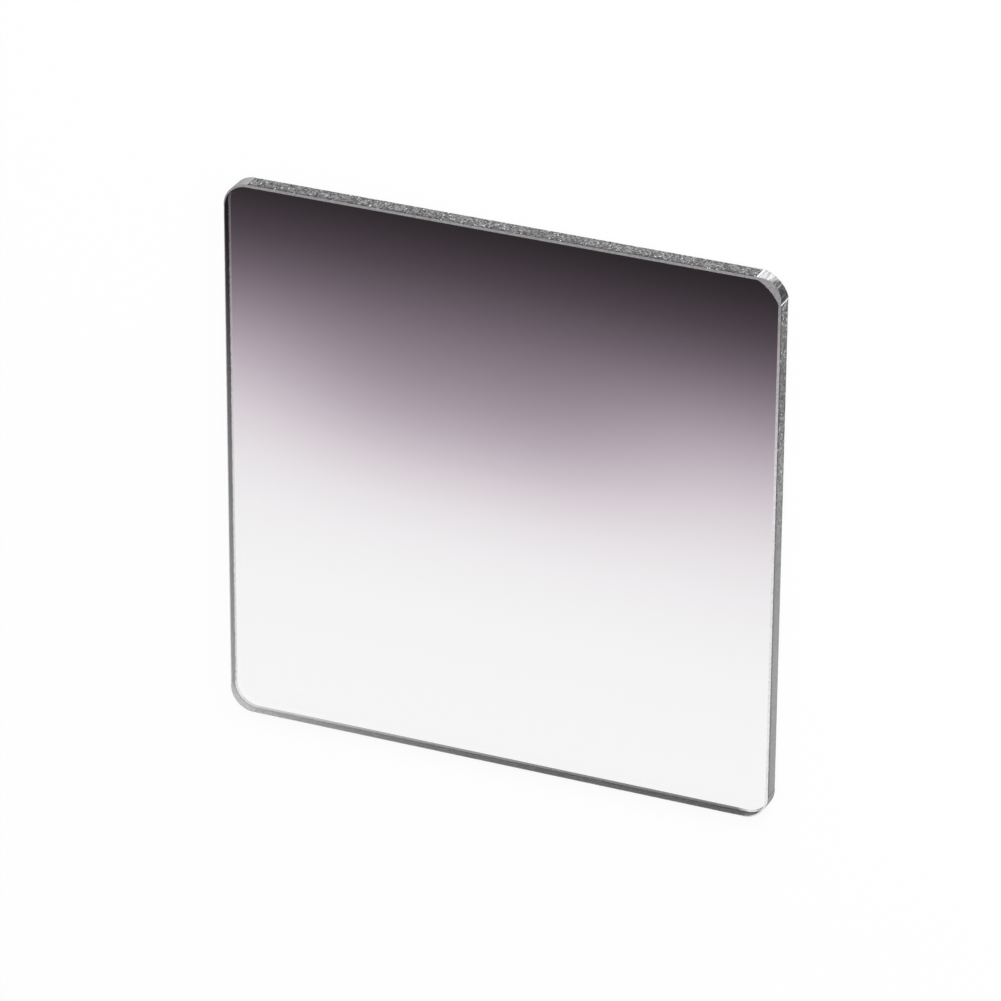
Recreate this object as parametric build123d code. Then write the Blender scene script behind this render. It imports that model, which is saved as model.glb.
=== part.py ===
from build123d import *
import os
from math import sqrt

# A square graduated filter for a camera: one plate of optical glass, lying on its back face.
# Units are millimetres. X runs across the plate, and Y runs along the grade towards the dark end.
# Z comes up out of the front face, and the origin is the middle of the back face.

# Driving dimensions
side = 101.6               # both sides of the square: a four inch filter
thickness = 4.0            # from one polished face to the other, as filter trays are made for
corner_radius = 4.5        # rounded corners of the outline, ground across the whole thickness
edge_bevel = 0.35          # leg of the 45 degree bevel all round both faces
wide_bevel_depth = 0.87    # how deep the wider bevel goes, at the middle of the one corner that has it
wide_bevel_radius = 8.6    # radius of the line where the wider bevel meets the face, flatter than the corner


def ground_blank():
    """The square plate with its rounded corners, and the narrow bevel round both faces."""
    outline = RectangleRounded(side, side, corner_radius)
    blank = extrude(outline, amount=thickness)
    face_edges = blank.edges().group_by(Axis.Z)[0] + blank.edges().group_by(Axis.Z)[-1]
    return chamfer(face_edges, edge_bevel)


def wide_bevel_cutter():
    """What the wider 45 degree bevel takes off the front face's corner at +X and +Y.

    The bevel is a cone. On the corner's diagonal it starts wide_bevel_depth inside the rounded outline,
    and its axis is set back from there by wide_bevel_radius. The cutter stands clear of the glass by
    half the bevel's depth, above the face and below the deepest point alike.
    """
    outline_to_square_corner = (sqrt(2) - 1) * corner_radius
    face_line_to_square_corner = outline_to_square_corner + wide_bevel_depth
    axis_to_side = (face_line_to_square_corner + wide_bevel_radius) / sqrt(2)
    axis_at = side / 2 - axis_to_side

    stand_off = wide_bevel_depth / 2
    height = wide_bevel_depth + 2 * stand_off
    reach = axis_to_side + stand_off
    block = Box(reach, reach, height, align=(Align.MIN, Align.MIN, Align.MAX))
    cone = Cone(
        bottom_radius=wide_bevel_radius + wide_bevel_depth + stand_off,
        top_radius=wide_bevel_radius - stand_off,
        height=height,
        align=(Align.CENTER, Align.CENTER, Align.MAX),
    )
    return Pos(axis_at, axis_at, thickness + stand_off) * (block - cone)


def filter_plate():
    """The blank with the wider bevel ground on both faces of the corner at +X and +Y."""
    front_cutter = wide_bevel_cutter()
    back_cutter = mirror(front_cutter, about=Plane.XY.offset(thickness / 2))
    return ground_blank() - front_cutter - back_cutter


os.makedirs("parts", exist_ok=True)
plate = filter_plate()
export_step(plate, "parts/filter_plate.step")
print("filter_plate:", len(plate.solids()), "solid,", round(plate.volume, 2), "cubic millimetres")
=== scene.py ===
"""A square graduated filter: one plate of glass, dark at one end and clear at the other.

The plate lies on its back face on a white table. +X runs across it, +Y runs along the grade towards the
dark end, and +Z comes out of its front face. Everything here is in metres, and MM turns millimetres into
metres.

One Geometry Nodes tree makes the whole plate: a strip that runs round the outline, with the two bevels and
the ground side between them, and the two polished faces that close it. Each zone of the surface has a
finish of its own.
"""

from __future__ import annotations

import logging
import math
from dataclasses import dataclass
from enum import Enum
from typing import Any

import bpy
from mathutils import Matrix, Vector

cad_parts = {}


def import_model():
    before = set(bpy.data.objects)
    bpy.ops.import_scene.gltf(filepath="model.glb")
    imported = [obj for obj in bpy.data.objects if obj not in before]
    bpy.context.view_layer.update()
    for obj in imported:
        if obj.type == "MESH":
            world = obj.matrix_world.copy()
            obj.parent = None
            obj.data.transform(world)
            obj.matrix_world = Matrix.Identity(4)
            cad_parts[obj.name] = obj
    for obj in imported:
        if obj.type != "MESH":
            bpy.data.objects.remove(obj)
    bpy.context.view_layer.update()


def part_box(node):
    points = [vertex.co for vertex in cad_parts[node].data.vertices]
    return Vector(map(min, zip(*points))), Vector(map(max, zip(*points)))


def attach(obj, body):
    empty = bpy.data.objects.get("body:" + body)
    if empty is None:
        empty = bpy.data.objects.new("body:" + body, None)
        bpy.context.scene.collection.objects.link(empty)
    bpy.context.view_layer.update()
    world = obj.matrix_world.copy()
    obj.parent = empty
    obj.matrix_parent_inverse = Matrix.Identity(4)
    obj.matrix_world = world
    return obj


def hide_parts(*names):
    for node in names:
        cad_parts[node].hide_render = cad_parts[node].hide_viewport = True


MM = 0.001
PLATE_NODE = "filter_plate"

SQUARE_SIDE = 101.6 * MM
CORNER_RADIUS = 4.5 * MM
CORNER_START = SQUARE_SIDE / 2 - CORNER_RADIUS
GLASS_IOR = 1.52

QUARTERS = 4
QUARTER_TURN = math.pi / 2
WELD_DISTANCE = 1e-7
NOISE_DETAIL = 3.0
HALF_STEP = 0.5

log = logging.getLogger("filter")


class Value:
    """A number or vector socket in a node tree, which arithmetic turns into Math nodes."""

    def __init__(self, graph: Graph, socket: bpy.types.NodeSocket) -> None:
        """Wraps an output socket of a graph's tree."""
        self.graph = graph
        self.socket = socket

    def maths(self, operation: str, *others: Value | float, first: Value | float | None = None) -> Value:
        """Adds a Math node.

        Args:
            operation: the node's operation.
            others: what follows this value in the node's inputs.
            first: what stands before this value, for a reflected operator.

        Returns:
            The node's result.
        """
        sources = ([] if first is None else [first]) + [self, *others]
        node = self.graph.node("ShaderNodeMath", {"operation": operation}, dict(enumerate(sources)))
        return Value(self.graph, node.outputs[0])

    def __add__(self, other: Value | float) -> Value:
        """This plus other."""
        return self.maths("ADD", other)

    __radd__ = __add__

    def __sub__(self, other: Value | float) -> Value:
        """This less other."""
        return self.maths("SUBTRACT", other)

    def __rsub__(self, other: Value | float) -> Value:
        """Other less this."""
        return self.maths("SUBTRACT", first=other)

    def __mul__(self, other: Value | float) -> Value:
        """This times other."""
        return self.maths("MULTIPLY", other)

    __rmul__ = __mul__

    def __truediv__(self, other: Value | float) -> Value:
        """This divided by other."""
        return self.maths("DIVIDE", other)

    def __rtruediv__(self, other: Value | float) -> Value:
        """Other divided by this."""
        return self.maths("DIVIDE", first=other)

    def __pow__(self, other: Value | float) -> Value:
        """This to the power of other."""
        return self.maths("POWER", other)

    def __rpow__(self, other: Value | float) -> Value:
        """Other to the power of this."""
        return self.maths("POWER", first=other)

    def __neg__(self) -> Value:
        """This with its sign turned."""
        return self.maths("MULTIPLY", -1.0)

    def absolute(self) -> Value:
        """This without its sign."""
        return self.maths("ABSOLUTE")

    def over(self, limit: Value | float) -> Value:
        """1 where this is more than limit, and 0 elsewhere."""
        return self.maths("GREATER_THAN", limit)

    def equals(self, number: int) -> Value:
        """1 where this, which is a whole number, is the given one, and 0 elsewhere."""
        return self.maths("COMPARE", number, HALF_STEP)

    def at_least(self, limit: Value | float) -> Value:
        """The larger of this and limit."""
        return self.maths("MAXIMUM", limit)

    def at_most(self, limit: Value | float) -> Value:
        """The smaller of this and limit."""
        return self.maths("MINIMUM", limit)

    def share(self) -> Value:
        """This held between 0 and 1."""
        return self.at_least(0.0).at_most(1.0)

    def ramp(self, low: float, high: float) -> Value:
        """How far this has come from low to high, from 0 to 1."""
        return ((self - low) / (high - low)).share()


class Graph:
    """A node tree under construction."""

    def __init__(self, tree: bpy.types.NodeTree) -> None:
        """Starts from an empty tree."""
        self.tree = tree
        tree.nodes.clear()

    def node(
        self, kind: str, settings: dict[str, Any] | None = None, inputs: dict[Any, Any] | None = None
    ) -> bpy.types.Node:
        """Adds a node.

        Args:
            kind: the node's type name.
            settings: its properties, set first.
            inputs: a value, socket or Value for each input, by name or number.

        Returns:
            The new node.
        """
        node = self.tree.nodes.new(kind)
        for name, setting in (settings or {}).items():
            setattr(node, name, setting)
        for key, source in (inputs or {}).items():
            self.feed(node.inputs[key], source)
        return node

    def value(
        self,
        kind: str,
        settings: dict[str, Any] | None = None,
        inputs: dict[Any, Any] | None = None,
        output: int | str = 0,
    ) -> Value:
        """Adds a node, as node does, and returns one of its outputs.

        Args:
            kind: the node's type name.
            settings: its properties, set first.
            inputs: a value, socket or Value for each input, by name or number.
            output: the output's name or number.

        Returns:
            The output.
        """
        return Value(self, self.node(kind, settings, inputs).outputs[output])

    def feed(self, socket: bpy.types.NodeSocket, source: Any) -> None:
        """Links a source to an input, or sets the input to a plain value.

        Args:
            socket: the input.
            source: a Value, an output socket, or what the input is set to.
        """
        if isinstance(source, Value):
            source = source.socket
        if isinstance(source, bpy.types.NodeSocket):
            self.tree.links.new(source, socket)
        else:
            socket.default_value = source

    def vector(self, x: Value | float, y: Value | float, z: Value | float) -> Value:
        """A vector from its three parts."""
        return self.value("ShaderNodeCombineXYZ", inputs={0: x, 1: y, 2: z})

    def parts(self, vector: Value) -> tuple[Value, Value, Value]:
        """The three parts of a vector."""
        node = self.node("ShaderNodeSeparateXYZ", inputs={0: vector})
        return tuple(Value(self, output) for output in node.outputs)


def grey(level: float) -> tuple[float, float, float, float]:
    """An opaque grey."""
    return (level, level, level, 1.0)


def new_material(name: str) -> tuple[bpy.types.Material, Graph]:
    """An empty material and the graph of its nodes.

    Args:
        name: what the material is called.

    Returns:
        The material, and its graph.
    """
    material = bpy.data.materials.new(name)
    material.use_nodes = True
    return material, Graph(material.node_tree)


def link_object(name: str, data: bpy.types.ID) -> bpy.types.Object:
    """Makes an object of a mesh, lamp or camera, and puts it in the scene.

    Args:
        name: what the object is called.
        data: what it shows.

    Returns:
        The object, at the origin.
    """
    thing = bpy.data.objects.new(name, data)
    bpy.context.scene.collection.objects.link(thing)
    return thing


def noise(graph: Graph, where: Value, pitch: Value | float, roughness: float = 0.5) -> Value:
    """Adds a smooth noise.

    Args:
        graph: the tree that it goes into.
        where: the place that it is read at.
        pitch: how far apart its features are, in metres.
        roughness: how strongly the finer features show.

    Returns:
        The noise, from 0 to 1.
    """
    inputs = {"Vector": where, "Scale": 1 / pitch, "Detail": NOISE_DETAIL, "Roughness": roughness}
    return graph.value("ShaderNodeTexNoise", inputs=inputs)


def object_place(graph: Graph) -> Value:
    """Where a point is on the plate, in metres."""
    return graph.value("ShaderNodeTexCoord", output="Object")


def inside(graph: Graph) -> Value:
    """1 where light meets the surface from within the glass, and 0 from the air."""
    return graph.value("ShaderNodeNewGeometry", output="Backfacing")


def near_corner(graph: Graph, where: Value, distance: float) -> Value:
    """How close a point of the outline is to where its straight side meets a rounded corner.

    Args:
        graph: the material's graph.
        where: the point on the plate.
        distance: how far along the outline the mark reaches, in metres.

    Returns:
        1 at the join, falling to 0 at the distance, on the side and on the corner alike.
    """
    x, y, _ = graph.parts(where)
    along = x.absolute().at_most(y.absolute())
    return 1.0 - ((along - CORNER_START).absolute() / distance).share()


def glass_shader(
    graph: Graph, colour: Value, roughness: float, transmission: float, alpha: Value | float = 1.0
) -> Value:
    """Adds glass that is part clear and part milky.

    Args:
        graph: the material's graph.
        colour: its tint, which varies over the surface.
        roughness: how matt it is.
        transmission: the share that light goes through, from 0 for milky to 1 for clear.
        alpha: 1 for glass, and less where a ray goes straight through.

    Returns:
        The shader.
    """
    inputs = {
        "Base Color": colour,
        "Roughness": roughness,
        "IOR": GLASS_IOR,
        "Transmission Weight": transmission,
        "Alpha": alpha,
    }
    return graph.value("ShaderNodeBsdfPrincipled", inputs=inputs)


def grey_glass(graph: Graph, level: Value, roughness: float, transmission: float) -> None:
    """Ends a material in ground glass.

    Args:
        graph: the material's graph.
        level: its grey, which varies over the surface.
        roughness: how matt it is.
        transmission: the share that light goes through.
    """
    colour = graph.value("ShaderNodeCombineColor", inputs={0: level, 1: level, 2: level})
    glass = glass_shader(graph, colour, roughness, transmission)
    graph.node("ShaderNodeOutputMaterial", inputs={"Surface": glass})


@dataclass(frozen=True)
class GradedGlass:
    """The polished faces, with the grey grade in the glass.

    The grade is a photographic density: 0 is clear, and each further 1 leaves a tenth of the light. It
    rises softly from the clear end to the dark end, with a broad low swell in the middle of the
    transition. Green and blue are held back a little more than red, by an extra density that grows with
    the grade.
    """

    slope: float = 0.0751 / MM
    start: float = 30.62 * MM
    softness: float = 12.24 * MM
    tilt: float = 0.0239
    swell: float = 0.157
    swell_place: tuple[float, float] = (-5.3 * MM, 19.0 * MM)
    swell_reach: tuple[float, float] = (26.8 * MM, 11.2 * MM)
    swell_powers: tuple[float, float] = (2.9, 2.0)
    green_extra: float = 0.122
    blue_extra: float = 0.024
    extra_by: float = 0.42

    def density(self, graph: Graph, where: Value) -> Value:
        """The density that red light meets.

        Args:
            graph: the material's graph.
            where: the place on the plate.

        Returns:
            The density through both faces.
        """
        x, y, _ = graph.parts(where)
        along = (y + x * self.tilt - self.start) / self.softness
        rise = (math.e**along + 1.0).maths("LOGARITHM", math.e) * (self.slope * self.softness)
        across = ((x - self.swell_place[0]) / self.swell_reach[0]).absolute() ** self.swell_powers[0]
        up = ((y - self.swell_place[1]) / self.swell_reach[1]).absolute() ** self.swell_powers[1]
        return rise + math.e ** ((across + up) * -0.5) * self.swell

    def tint(self, graph: Graph, where: Value) -> Value:
        """The colour that white light has after the plate, faintly pink where it is grey.

        Args:
            graph: the material's graph.
            where: the place on the plate.

        Returns:
            The colour.
        """
        red = self.density(graph, where)
        turned = 1.0 - math.e ** (red * (-1 / self.extra_by))
        green = red + turned * self.green_extra
        blue = red + turned * self.blue_extra
        passed = [10.0 ** (-density) for density in (red, green, blue)]
        return graph.value("ShaderNodeCombineColor", inputs=dict(enumerate(passed)))

    def material(self) -> bpy.types.Material:
        """Builds the finish. A lamp shines straight through, and each face takes half the density.

        Returns:
            The material.
        """
        material, graph = new_material("graded_glass_face")
        where = object_place(graph)
        shadow = graph.value("ShaderNodeLightPath", output="Is Shadow Ray")
        passed = 10.0 ** (self.density(graph, where) * -0.5)
        alpha = 1.0 - shadow * passed
        glass = glass_shader(graph, self.tint(graph, where), roughness=0.0, transmission=1.0, alpha=alpha)
        graph.node("ShaderNodeOutputMaterial", inputs={"Surface": glass})
        return material


@dataclass(frozen=True)
class RimPaintedShadeWithin:
    """How the plate's rim looks from within the glass, in painted shade and painted light: dark, and light
    by the clear end's left corner.
    """

    # dark is the painted shade within, and light the painted light by the clear end's left corner, fading
    # over reach.
    dark: float = 0.06
    light: float = 0.63
    reach: float = 22.0 * MM
    share_of_y: float = 0.4

    def level(self, graph: Graph, where: Value) -> Value:
        """The rim's grey, with its painted shade and painted light.

        Args:
            graph: the material's graph.
            where: the place on the rim.

        Returns:
            The grey level.
        """
        x, y, _ = graph.parts(where)
        from_corner = (x + SQUARE_SIDE / 2) + (y + SQUARE_SIDE / 2) * self.share_of_y
        return self.dark + math.e ** (from_corner * (-1 / self.reach)) * (self.light - self.dark)


@dataclass(frozen=True)
class SatinBevel:
    """The fine bevels between the faces and the ground sides, satin from a fine stone.

    Along the left side and the clear end they take on the rim's painted shade within, with its painted
    light by the clear end's left corner. Seen from within the glass, they do so along the clear end alone,
    and not where it comes near the right side.
    """

    bright: float = 0.82
    worn: float = 0.60
    mark_pitch: float = 0.5 * MM
    mark_low: float = 0.40
    mark_high: float = 0.65
    shaded_from: float = -3.5 * MM
    shaded_to: float = -6.0 * MM
    clears_from: float = 45.5 * MM
    clears_to: float = 49.0 * MM
    roughness: float = 0.26
    transmission: float = 0.84
    within: RimPaintedShadeWithin = RimPaintedShadeWithin()

    def material(self) -> bpy.types.Material:
        """Builds the finish.

        Returns:
            The material.
        """
        material, graph = new_material("satin_bevel")
        where = object_place(graph)
        marks = noise(graph, where, self.mark_pitch).ramp(self.mark_low, self.mark_high)
        level = self.bright + marks * (self.worn - self.bright)
        # Painted shade: the rim's painted look within, along the left side and the clear end.
        level = level + self._shaded(graph, where) * (self.within.level(graph, where) - level)
        grey_glass(graph, level, self.roughness, self.transmission)
        return material

    def _shaded(self, graph: Graph, where: Value) -> Value:
        """How much a place on the bevel takes on the rim's painted shade within.

        Args:
            graph: the material's graph.
            where: the place.

        Returns:
            The share, from 0 to 1.
        """
        x, y, _ = graph.parts(where)
        shaded = (x + y).ramp(self.shaded_from, self.shaded_to)
        seen_clear = inside(graph) * y.over(x).at_least(x.ramp(self.clears_from, self.clears_to))
        return shaded * (1.0 - seen_clear)


@dataclass(frozen=True)
class CoarseGround:
    """The straight sides, ground with coarse grit: grey, with dark pits and bright specks.

    The grey is lighter towards the clear end and the grit shows most at the dark end: painted light for the
    light inside the glass, which evens the grit out towards the clear end.
    Along the front bevel the grey is darker, a painted shade, and a dark line stands at each corner. From
    within the glass the sides take the rim's painted shade.
    """

    dark_end: float = 0.165
    clear_end: float = 0.34
    painted_light_from: float = 30.0 * MM
    painted_light_to: float = -20.0 * MM
    front_rim_shade: float = 0.1
    rim_sharpness: float = 9.0
    end_line_shade: float = 0.3
    end_line: float = 0.35 * MM
    grain_pitch: float = 0.22 * MM
    grain_height: float = 1.6
    grain_low: float = 0.28
    grain_high: float = 2.15
    grain_skew: float = 1.5
    speck_grey: float = 0.8
    speck_pitch: float = 0.40 * MM
    speck_share: float = 0.12
    speck_core: float = 0.20
    speck_edge: float = 0.38
    even_from: float = -6.0 * MM
    even_to: float = 22.0 * MM
    least_grit: float = 0.15
    transmission: float = 0.05
    roughness: float = 0.55
    within: RimPaintedShadeWithin = RimPaintedShadeWithin()

    def material(self, front_rim: float) -> bpy.types.Material:
        """Builds the finish.

        Args:
            front_rim: how high over the back face the sides end, in metres.

        Returns:
            The material.
        """
        material, graph = new_material("coarse_ground_side")
        where = object_place(graph)
        x, y, z = graph.parts(where)
        # Painted light: the grey rises from the dark end to the clear end, as the light inside the glass
        # does.
        painted_light_to_clear_end = y.ramp(self.painted_light_from, self.painted_light_to)
        level = self.dark_end + painted_light_to_clear_end * (self.clear_end - self.dark_end)
        # Painted shade: darker towards the front rim.
        level = level * (1.0 + (z / front_rim) ** self.rim_sharpness * (self.front_rim_shade - 1.0))
        grit = self.least_grit + y.ramp(self.even_from, self.even_to) * (1.0 - self.least_grit)
        grain_place = graph.vector(x, y, z / self.grain_height)
        level = level * (1.0 + grit * (self._grain(graph, grain_place) - 1.0))
        level = level * (1.0 - near_corner(graph, where, self.end_line) * (1.0 - self.end_line_shade))
        level = level + self._specks(graph, grain_place) * grit * (self.speck_grey - level)
        # From within the glass, the rim's painted shade and painted light.
        level = level + inside(graph) * (self.within.level(graph, where) - level)
        grey_glass(graph, level, self.roughness, self.transmission)
        return material

    def _grain(self, graph: Graph, where: Value) -> Value:
        """The grit's own tone, cell by cell."""
        chance, _ = self._cells(graph, where, self.grain_pitch)
        return self.grain_low + chance**self.grain_skew * (self.grain_high - self.grain_low)

    def _specks(self, graph: Graph, where: Value) -> Value:
        """Single bright grains: 1 on one, and 0 elsewhere."""
        chance, distance = self._cells(graph, where, self.speck_pitch)
        return chance.over(1.0 - self.speck_share) * (1.0 - distance.ramp(self.speck_core, self.speck_edge))

    @staticmethod
    def _cells(graph: Graph, where: Value, pitch: float) -> tuple[Value, Value]:
        """Parts space into the cells of a grit.

        Args:
            graph: the material's graph.
            where: the place.
            pitch: how far apart the cells are, in metres.

        Returns:
            A random number for each cell, and the distance from its middle in pitches.
        """
        inputs = {"Vector": where, "Scale": 1 / pitch, "Randomness": 1.0}
        cells = graph.node("ShaderNodeTexVoronoi", {"feature": "F1"}, inputs)
        chance, _, _ = graph.parts(Value(graph, cells.outputs["Color"]))
        return chance, Value(graph, cells.outputs["Distance"])


@dataclass(frozen=True)
class FineGround:
    """The rounded corners, ground finer, with streaks that run across the thickness.

    The corner with the wide bevel starts white and turns dark towards the right side, in painted light and
    painted shade, and a white line stands at each of its ends, where it meets the coarse sides. The others
    are a plain light grey. Seen from within the glass, the corners take the rim's painted shade, and those
    on the right side are darker still, a painted shade under them.
    """

    plain: float = 0.34
    plain_most: float = 1.1
    plain_streak: float = 0.2
    # white and dark are the wide corner's painted light and painted shade.
    white: float = 0.68
    dark: float = 0.005
    dark_streak: float = 0.11
    streak_shade: float = 0.5
    streak_pitch: float = 0.40 * MM
    streak_drawn_out: float = 0.12
    streak_low: float = 0.38
    streak_high: float = 0.62
    dark_from: float = 47.8 * MM
    dark_to: float = 50.1 * MM
    dark_lean: float = 0.1
    dark_spread: float = 1.6 * MM
    end_line: float = 0.35 * MM
    end_line_core: float = 0.45
    wide_corner: float = 0.8 * SQUARE_SIDE
    right_corners_painted_shade: float = 0.3
    transmission: float = 0.05
    roughness: float = 0.3
    within: RimPaintedShadeWithin = RimPaintedShadeWithin()

    def material(self) -> bpy.types.Material:
        """Builds the finish.

        Returns:
            The material.
        """
        material, graph = new_material("fine_ground_corner")
        where = object_place(graph)
        x, y, z = graph.parts(where)
        streak_place = graph.vector(x, y, z * self.streak_drawn_out)
        streaks = noise(graph, streak_place, self.streak_pitch).ramp(self.streak_low, self.streak_high)
        plain = self.plain * (self.plain_most - streaks * self.plain_streak)
        on_wide_corner = (x + y).over(self.wide_corner)
        level = plain + on_wide_corner * (self._wide_corner_light_and_shade(graph, where, streaks) - plain)
        # From within the glass, the rim's painted shade, darker still on the right corners: a painted shade
        # under them.
        painted_shade_within = self.within.level(graph, where) * (1.0 - x.over(0.0) * (1.0 - self.right_corners_painted_shade))
        level = level + inside(graph) * (painted_shade_within - level)
        grey_glass(graph, level, self.roughness, self.transmission)
        return material

    def _wide_corner_light_and_shade(self, graph: Graph, where: Value, streaks: Value) -> Value:
        """The corner with the wide bevel, white to dark in painted light and painted shade, with its end
        lines.

        Args:
            graph: the material's graph.
            where: the place on the corner.
            streaks: how far a streak shows there, from 0 to 1.

        Returns:
            The grey level.
        """
        x, _, z = graph.parts(where)
        leaning = x + z * self.dark_lean + (streaks - 0.5) * self.dark_spread
        # Painted shade: the wide corner darkens towards the right side.
        painted_shade_share = leaning.ramp(self.dark_from, self.dark_to)
        level = self.white * (1.0 - streaks * (1.0 - self.streak_shade))
        level = level + painted_shade_share * (self.dark + streaks * streaks * self.dark_streak - level)
        ends = near_corner(graph, where, self.end_line).ramp(0.0, self.end_line_core)
        return level + ends * (1.0 - level)


class Cap(Enum):
    """The two polished faces that close the strip."""

    FRONT = "front"
    BACK = "back"


class Zone(Enum):
    """The parts of the surface that have a finish of their own."""

    FACE = 0
    BEVEL = 1
    FINE = 2
    COARSE = 3


@dataclass(frozen=True)
class Step:
    """A point of the strip, counted from its start.

    The quarter of the outline runs from 0 to 3. The column is counted within it, along the straight side
    and then round the corner, and the row from the front face to the back face.
    """

    quarter: Value
    column: Value
    row: Value


@dataclass(frozen=True)
class Rim:
    """A point of the outline, as it is in quarter 0, and which way is out of the plate there."""

    x: Value
    y: Value
    out_x: Value
    out_y: Value
    along_side: Value
    angle: Value


@dataclass(frozen=True)
class BevelLine:
    """Where the bevel meets the face at a point of the outline, and how deep the bevel goes there."""

    x: Value
    y: Value
    depth: Value


@dataclass
class FilterPlate:
    """The plate: its sizes, its mesh and its finishes."""

    side: float
    thickness: float
    corner_radius: float = CORNER_RADIUS
    edge_bevel: float = 0.35 * MM
    wide_bevel_depth: float = 0.87 * MM
    wide_bevel_radius: float = 8.6 * MM
    grit_depth: float = 0.05 * MM
    grit_pitch: float = 0.30 * MM
    grit_low: float = 0.25
    grit_high: float = 0.75
    grit_roughness: float = 0.65
    side_columns: int = 560
    corner_columns: int = 44
    bevel_rows: int = 3
    ground_rows: int = 20
    rounding_guard: float = 0.001
    face: GradedGlass = GradedGlass()
    bevel: SatinBevel = SatinBevel()
    coarse: CoarseGround = CoarseGround()
    fine: FineGround = FineGround()

    def build(self) -> bpy.types.Object:
        """Makes the plate as a plain mesh object.

        Returns:
            The object, at the origin and with no modifier left.
        """
        maker = link_object("plate_maker", bpy.data.meshes.new("plate_maker"))
        modifier = maker.modifiers.new("plate", "NODES")
        inputs = self._inputs()
        modifier.node_group = self._tree(list(inputs))
        for item in modifier.node_group.interface.items_tree:
            if item.in_out == "INPUT":
                modifier[item.identifier] = inputs[item.name]
        evaluated = maker.evaluated_get(bpy.context.evaluated_depsgraph_get())
        mesh = bpy.data.meshes.new_from_object(evaluated)
        bpy.data.objects.remove(maker)
        mesh.name = "graded_filter"
        return link_object("graded_filter", mesh)

    def _inputs(self) -> dict[str, float]:
        """The tree's named inputs.

        Returns:
            The value of each, by its name.
        """
        return {
            "Side": self.side,
            "Thickness": self.thickness,
            "Corner Radius": self.corner_radius,
            "Edge Bevel": self.edge_bevel,
            "Wide Bevel Depth": self.wide_bevel_depth,
            "Wide Bevel Radius": self.wide_bevel_radius,
            "Grit Depth": self.grit_depth,
            "Grit Pitch": self.grit_pitch,
        }

    def _tree(self, names: list[str]) -> bpy.types.NodeTree:
        """Builds the Geometry Nodes tree that makes the plate.

        Args:
            names: what its inputs are called.

        Returns:
            The tree.
        """
        tree = bpy.data.node_groups.new("filter_plate_shape", "GeometryNodeTree")
        for name in names:
            tree.interface.new_socket(name, in_out="INPUT", socket_type="NodeSocketFloat")
        tree.interface.new_socket("Plate", in_out="OUTPUT", socket_type="NodeSocketGeometry")
        graph = Graph(tree)
        given = graph.node("NodeGroupInput")
        sizes = {name: Value(graph, given.outputs[name]) for name in names}
        strip, zone = self._strip(graph, sizes)
        joined = graph.node("GeometryNodeJoinGeometry")
        for part in (strip, *(self._cap(graph, strip, sizes, cap) for cap in Cap)):
            graph.feed(joined.inputs[0], part)
        plate = self._weld(graph, Value(graph, joined.outputs[0]))
        inputs = {"Geometry": plate, "Shade Smooth": zone.equals(Zone.FINE.value)}
        plate = graph.value("GeometryNodeSetShadeSmooth", inputs=inputs)
        plate = graph.value("GeometryNodeRealizeInstances", inputs={"Geometry": plate})
        graph.node("NodeGroupOutput", inputs={"Plate": self._dress(graph, plate, zone)})
        return tree

    def _dress(self, graph: Graph, plate: Value, zone: Value) -> Value:
        """Gives every zone its finish. The faces' own goes into the empty slot that the grid brings along.

        Args:
            graph: the tree.
            plate: the whole mesh.
            zone: the zone of each of its faces.

        Returns:
            The mesh with its materials.
        """
        inputs = {"Geometry": plate, "New": self.face.material()}
        plate = graph.value("GeometryNodeReplaceMaterial", inputs=inputs)
        finishes = {
            Zone.BEVEL: self.bevel.material(),
            Zone.FINE: self.fine.material(),
            Zone.COARSE: self.coarse.material(self.thickness - self.edge_bevel),
        }
        for here, material in finishes.items():
            inputs = {"Geometry": plate, "Selection": zone.equals(here.value), "Material": material}
            plate = graph.value("GeometryNodeSetMaterial", inputs=inputs)
        return plate

    @staticmethod
    def _weld(graph: Graph, mesh: Value) -> Value:
        """Joins the points that lie on each other."""
        inputs = {"Geometry": mesh, "Distance": WELD_DISTANCE}
        return graph.value("GeometryNodeMergeByDistance", inputs=inputs)

    def _strip(self, graph: Graph, sizes: dict[str, Value]) -> tuple[Value, Value]:
        """The strip round the outline: front bevel, ground side and back bevel.

        It starts as a flat grid with a column for each step round the outline and a row for each step
        through the thickness, one unit apart. Its faces learn their zone there, and then each point goes
        to its real place. The first and last columns fall on each other and are welded.

        Args:
            graph: the tree.
            sizes: its named inputs.

        Returns:
            The strip, and the zone of each of its faces. A face that is joined to it later is in zone 0.
        """
        quarter_columns = self.side_columns + self.corner_columns
        columns = QUARTERS * quarter_columns
        rows = 2 * self.bevel_rows + self.ground_rows
        inputs = {"Size X": float(columns), "Size Y": float(rows)}
        inputs |= {"Vertices X": columns + 1, "Vertices Y": rows + 1}
        grid = graph.value("GeometryNodeMeshGrid", inputs=inputs)
        across, up, _ = graph.parts(graph.value("GeometryNodeInputPosition"))
        column = across + columns / 2
        started = ((column + self.rounding_guard) / quarter_columns).maths("FLOOR")
        quarter = started.at_most(QUARTERS - 1.0)
        step = Step(quarter, column - quarter * quarter_columns, rows / 2 - up)

        zoned = graph.node("GeometryNodeCaptureAttribute", {"domain": "FACE"})
        zoned.capture_items.new("FLOAT", "Zone")
        graph.feed(zoned.inputs["Geometry"], grid)
        graph.feed(zoned.inputs["Zone"], self._zone(step))
        place = self._place(graph, sizes, step)
        inputs = {"Geometry": zoned.outputs["Geometry"], "Position": place}
        placed = graph.value("GeometryNodeSetPosition", inputs=inputs)
        return self._weld(graph, placed), Value(graph, zoned.outputs["Zone"])

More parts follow.
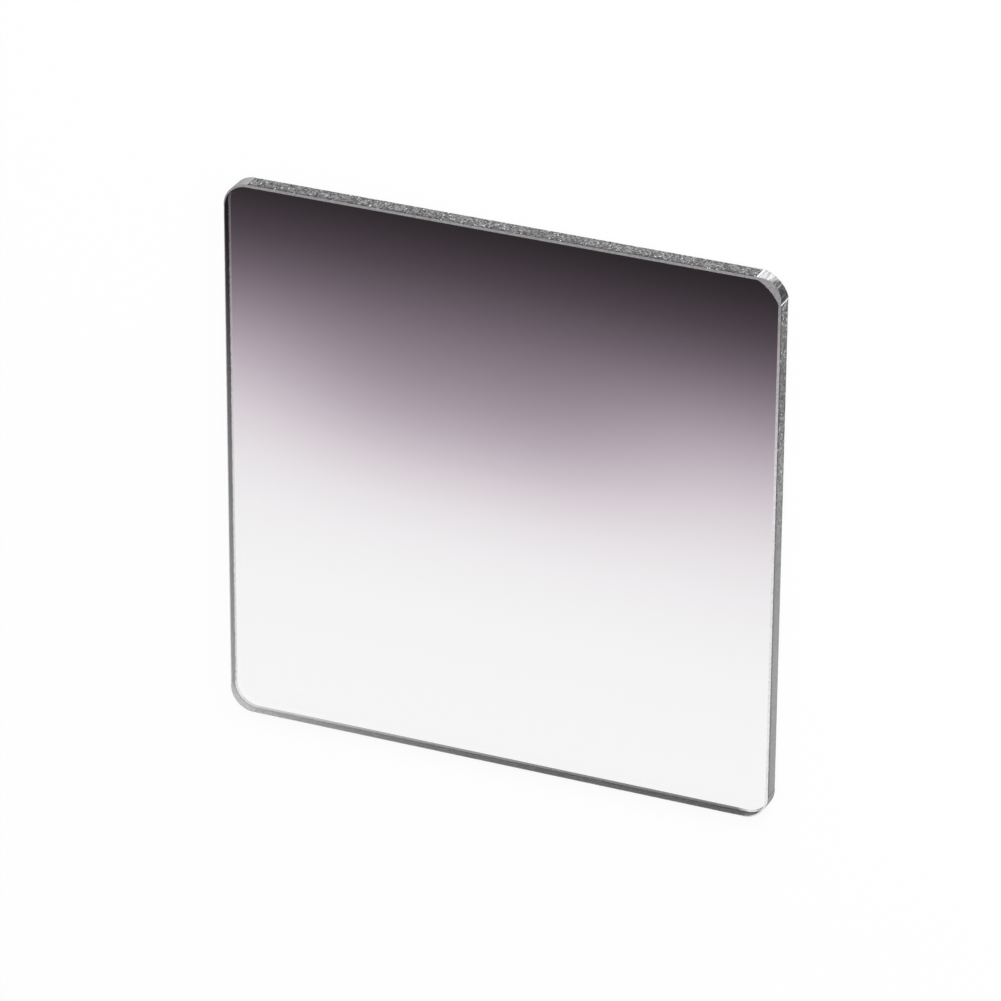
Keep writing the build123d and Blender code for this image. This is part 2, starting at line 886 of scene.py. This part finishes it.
    def _zone(self, step: Step) -> Value:
        """The zone that a face of the strip is in.

        Args:
            step: the face's middle.

        Returns:
            The zone's number.
        """
        on_back_bevel = step.row.over(self.bevel_rows + self.ground_rows)
        on_ground = step.row.over(self.bevel_rows) * (1.0 - on_back_bevel)
        on_corner = step.column.over(self.side_columns)
        ground_zone = Zone.COARSE.value + on_corner * (Zone.FINE.value - Zone.COARSE.value)
        return Zone.BEVEL.value + on_ground * (ground_zone - Zone.BEVEL.value)

    def _place(self, graph: Graph, sizes: dict[str, Value], step: Step) -> Value:
        """Where a point of the strip goes.

        Args:
            graph: the tree.
            sizes: its named inputs.
            step: the point.

        Returns:
            The place, as a vector.
        """
        rim = self._rim(sizes, step)
        line = self._bevel_line(sizes, step, rim)
        front = (step.row / self.bevel_rows).share()
        side = ((step.row - self.bevel_rows) / self.ground_rows).share()
        back = ((step.row - self.bevel_rows - self.ground_rows) / self.bevel_rows).share()
        outward = front - back
        ground_width = sizes["Thickness"] - line.depth * 2.0
        height = sizes["Thickness"] - line.depth * (front + back) - ground_width * side
        x = line.x + (rim.x - line.x) * outward
        y = line.y + (rim.y - line.y) * outward

        on_side = rim.along_side.over(0.0) * (1.0 - rim.along_side).over(0.0)
        on_ground = outward.over(1.0 - self.rounding_guard)
        bite = self._grit(graph, sizes, step, graph.vector(x, y, height)) * on_side * on_ground
        local = graph.vector(x - bite * rim.out_x, y - bite * rim.out_y, height)
        inputs = {"Vector": local, "Angle": step.quarter * QUARTER_TURN}
        return graph.value("ShaderNodeVectorRotate", {"rotation_type": "Z_AXIS"}, inputs)

    def _rim(self, sizes: dict[str, Value], step: Step) -> Rim:
        """The outline's point at a step: along the straight side at +X, and then round its corner at +Y.

        Args:
            sizes: the tree's named inputs.
            step: the step.

        Returns:
            The point.
        """
        radius = sizes["Corner Radius"]
        centre = sizes["Side"] * 0.5 - radius
        along_side = (step.column / self.side_columns).share()
        angle = ((step.column - self.side_columns) / self.corner_columns).share() * QUARTER_TURN
        out_x, out_y = angle.maths("COSINE"), angle.maths("SINE")
        x = centre + radius * out_x
        y = centre * (along_side * 2.0 - 1.0) + radius * out_y
        return Rim(x, y, out_x, out_y, along_side, angle)

    def _bevel_line(self, sizes: dict[str, Value], step: Step, rim: Rim) -> BevelLine:
        """Where the bevel meets the face: the narrow bevel, or a cone's where the cone goes deeper.

        The cone is the wide bevel of the corner in quarter 0. On the corner's diagonal it starts the wide
        bevel's depth inside the outline, and its axis is set back from there by the wide bevel's radius.

        Args:
            sizes: the tree's named inputs.
            step: the step round the outline.
            rim: the outline's point there.

        Returns:
            The bevel's inner line.
        """
        narrow, wide_radius = sizes["Edge Bevel"], sizes["Wide Bevel Radius"]
        outline_to_square_corner = sizes["Corner Radius"] * (math.sqrt(2) - 1)
        axis_to_side = (outline_to_square_corner + sizes["Wide Bevel Depth"] + wide_radius) / math.sqrt(2)
        axis = sizes["Side"] * 0.5 - axis_to_side
        from_x, from_y = rim.x - axis, rim.y - axis
        reach = (from_x * from_x + from_y * from_y).maths("SQRT")
        cone_depth = reach - wide_radius
        on_cone = rim.angle.over(0.0) * cone_depth.over(narrow) * step.quarter.equals(0)
        narrow_x, narrow_y = rim.x - narrow * rim.out_x, rim.y - narrow * rim.out_y
        shrink = wide_radius / reach
        return BevelLine(
            x=narrow_x + (axis + from_x * shrink - narrow_x) * on_cone,
            y=narrow_y + (axis + from_y * shrink - narrow_y) * on_cone,
            depth=narrow + (cone_depth - narrow) * on_cone,
        )

    def _grit(self, graph: Graph, sizes: dict[str, Value], step: Step, local: Value) -> Value:
        """How deep the coarse grinding bites.

        Args:
            graph: the tree.
            sizes: its named inputs.
            step: the point of the strip, whose quarter sets the four sides' grit apart.
            local: its place, as it is in quarter 0.

        Returns:
            The depth, from 0 to the grit depth.
        """
        x, y, z = graph.parts(local)
        apart = graph.vector(x, y, z + step.quarter * sizes["Side"])
        rough = noise(graph, apart, sizes["Grit Pitch"], self.grit_roughness)
        return rough.ramp(self.grit_low, self.grit_high) * sizes["Grit Depth"]

    def _cap(self, graph: Graph, strip: Value, sizes: dict[str, Value], cap: Cap) -> Value:
        """A polished face, filled in from the strip's open edge.

        Args:
            graph: the tree.
            strip: the strip round the outline.
            sizes: the tree's named inputs.
            cap: which of the two faces it is.

        Returns:
            The face, turned outwards.
        """
        neighbours = graph.value("GeometryNodeInputMeshEdgeNeighbors")
        _, _, z = graph.parts(graph.value("GeometryNodeInputPosition"))
        upper = z.over(sizes["Thickness"] * 0.5)
        this_face = upper if cap is Cap.FRONT else 1.0 - upper
        open_edge = neighbours.equals(1) * this_face
        outline = graph.value("GeometryNodeMeshToCurve", inputs={"Mesh": strip, "Selection": open_edge})
        filled = graph.value("GeometryNodeFillCurve", {"mode": "NGONS"}, {"Curve": outline})
        if cap is Cap.FRONT:
            lift = graph.vector(0.0, 0.0, sizes["Thickness"])
            return graph.value("GeometryNodeTransform", inputs={"Geometry": filled, "Translation": lift})
        return graph.value("GeometryNodeFlipFaces", inputs={"Mesh": filled})


@dataclass(frozen=True)
class Table:
    """The white table that the plate lies on."""

    size: float = 3.0
    gap: float = 0.05 * MM
    colour: tuple[float, float, float, float] = grey(0.85)
    glow_share: float = 0.92
    glow_in_polish: float = 0.4

    def build(self) -> bpy.types.Object:
        """Makes the table top, just under the plate.

        Returns:
            Its object.
        """
        half = self.size / 2
        outline = ((-half, -half), (half, -half), (half, half), (-half, half))
        mesh = bpy.data.meshes.new("table_top")
        mesh.from_pydata([(x, y, -self.gap) for x, y in outline], [], [(0, 1, 2, 3)])
        mesh.materials.append(self._material())
        return link_object("table_top", mesh)

    def _material(self) -> bpy.types.Material:
        """White to the eye and through glass, with the plate's shadow on it, and plain pale to the lamps.

        Returns:
            The material.
        """
        material, graph = new_material("white_table")
        plain = graph.value("ShaderNodeBsdfDiffuse", inputs={"Color": self.colour})
        path = graph.node("ShaderNodeLightPath")
        camera = Value(graph, path.outputs["Is Camera Ray"])
        glossy = Value(graph, path.outputs["Is Glossy Ray"])
        through = Value(graph, path.outputs["Is Transmission Ray"])
        strength = 1.0 - glossy * (1.0 - through) * (1.0 - self.glow_in_polish)
        glow = graph.value("ShaderNodeEmission", inputs={"Color": grey(1.0), "Strength": strength})
        share = (camera * self.glow_share).at_least(glossy).at_least(through)
        mixed = graph.value("ShaderNodeMixShader", inputs={0: share, 1: plain, 2: glow})
        graph.node("ShaderNodeOutputMaterial", inputs={"Surface": mixed})
        return material


@dataclass(frozen=True)
class SoftBox:
    """A square studio lamp that points at the plate, out of the picture and of the plate's polish."""

    name: str
    place: tuple[float, float, float]
    size: float
    power: float
    towards: tuple[float, float, float] = (0.0, 0.0, 0.0)

    def build(self) -> None:
        """Puts the lamp in the scene."""
        lamp = bpy.data.lights.new(self.name, "AREA")
        lamp.shape = "SQUARE"
        lamp.size = self.size
        lamp.energy = self.power
        holder = link_object(self.name, lamp)
        holder.visible_camera = False
        holder.visible_glossy = False
        holder.visible_transmission = False
        away = Vector(self.place) - Vector(self.towards)
        turn = away.to_track_quat("Z", "Y").to_matrix().to_4x4()
        holder.matrix_world = Matrix.Translation(Vector(self.place)) @ turn


@dataclass(frozen=True)
class Surroundings:
    """The pale studio round the table, brighter behind the key lamp, and dimmer overhead in the polish."""

    light: float = 0.65
    lean: float = 0.5
    lean_to_right: float = 0.3
    horizon: float = 0.7
    overhead: float = 0.15
    overhead_from: float = 0.75

    def build(self) -> None:
        """Sets the world: white to the eye, even light on the plate, and dimmer in its polish."""
        world = bpy.data.worlds.new("studio")
        world.use_nodes = True
        bpy.context.scene.world = world
        graph = Graph(world.node_tree)
        path = graph.node("ShaderNodeLightPath")
        camera = Value(graph, path.outputs["Is Camera Ray"])
        glossy = Value(graph, path.outputs["Is Glossy Ray"])
        x, y, z = graph.parts(graph.value("ShaderNodeTexCoord", output="Generated"))
        even = self.light * (1.0 + (x * self.lean_to_right + y) * self.lean)
        mirrored = self.horizon + z.ramp(0.0, self.overhead_from) * (self.overhead - self.horizon)
        strength = camera + (1.0 - camera) * (even + glossy * (mirrored - even))
        back = graph.value("ShaderNodeBackground", inputs={"Color": grey(1.0), "Strength": strength})
        graph.node("ShaderNodeOutputWorld", inputs={"Surface": back})


@dataclass(frozen=True)
class Viewpoint:
    """The photograph's view of the plate: from over its dark end and its right side."""

    target: tuple[float, float, float] = (0.905 * MM, 0.681 * MM, 4.0 * MM)
    distance: float = 1093.6 * MM
    azimuth: float = 51.703
    elevation: float = 55.359
    roll: float = -0.336
    lens: float = 230.81
    sensor: float = 36.0

    def build(self) -> None:
        """Makes the camera, with the plate's dark end up in the picture, and uses it."""
        data = bpy.data.cameras.new("photo_view")
        data.lens = self.lens
        data.sensor_width = self.sensor
        camera = link_object("photo_view", data)
        away = self._away()
        place = Vector(self.target) + away * self.distance
        camera.matrix_world = Matrix.Translation(place) @ self._turn(away)
        bpy.context.scene.camera = camera

    def _away(self) -> Vector:
        """Which way the camera is from the target.

        Returns:
            The direction, one unit long.
        """
        azimuth, elevation = math.radians(self.azimuth), math.radians(self.elevation)
        level = math.cos(elevation)
        return Vector((level * math.cos(azimuth), level * math.sin(azimuth), math.sin(elevation)))

    def _turn(self, away: Vector) -> Matrix:
        """How the camera is turned.

        Args:
            away: the direction from the target to the camera.

        Returns:
            The turn, with +Y of the plate up in the picture, but for the roll.
        """
        along = Vector((0.0, 1.0, 0.0))
        upright = (along - away * along.dot(away)).normalized()
        up = Matrix.Rotation(math.radians(self.roll), 3, -away) @ upright
        return Matrix((up.cross(away), up, away)).transposed().to_4x4()


def main() -> None:
    """Builds the filter and its studio, and reports each piece."""
    logging.basicConfig(level=logging.INFO, format="%(name)s: %(message)s")
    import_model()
    low, high = (Vector(corner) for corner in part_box(PLATE_NODE))

    plate = FilterPlate(side=high.x - low.x, thickness=high.z - low.z).build()
    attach(plate, "root")
    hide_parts(PLATE_NODE)
    log.info("%s: %d faces, %d finishes", plate.name, len(plate.data.polygons), len(plate.data.materials))

    table = Table().build()
    log.info("%s: %d face", table.name, len(table.data.polygons))

    Surroundings().build()
    lamps = (
        SoftBox("key_lamp", place=(0.4, 1.2, 1.2), size=0.8, power=18.0),
        SoftBox("corner_lamp", place=(0.20, 0.18, 0.14), size=0.07, power=0.18, towards=(0.05, 0.05, 0.0)),
    )
    for lamp in lamps:
        lamp.build()
        log.info("%s: %.2f W", lamp.name, lamp.power)
    Viewpoint().build()
    bpy.context.scene.view_settings.view_transform = "Standard"


if __name__ == "__main__":
    main()
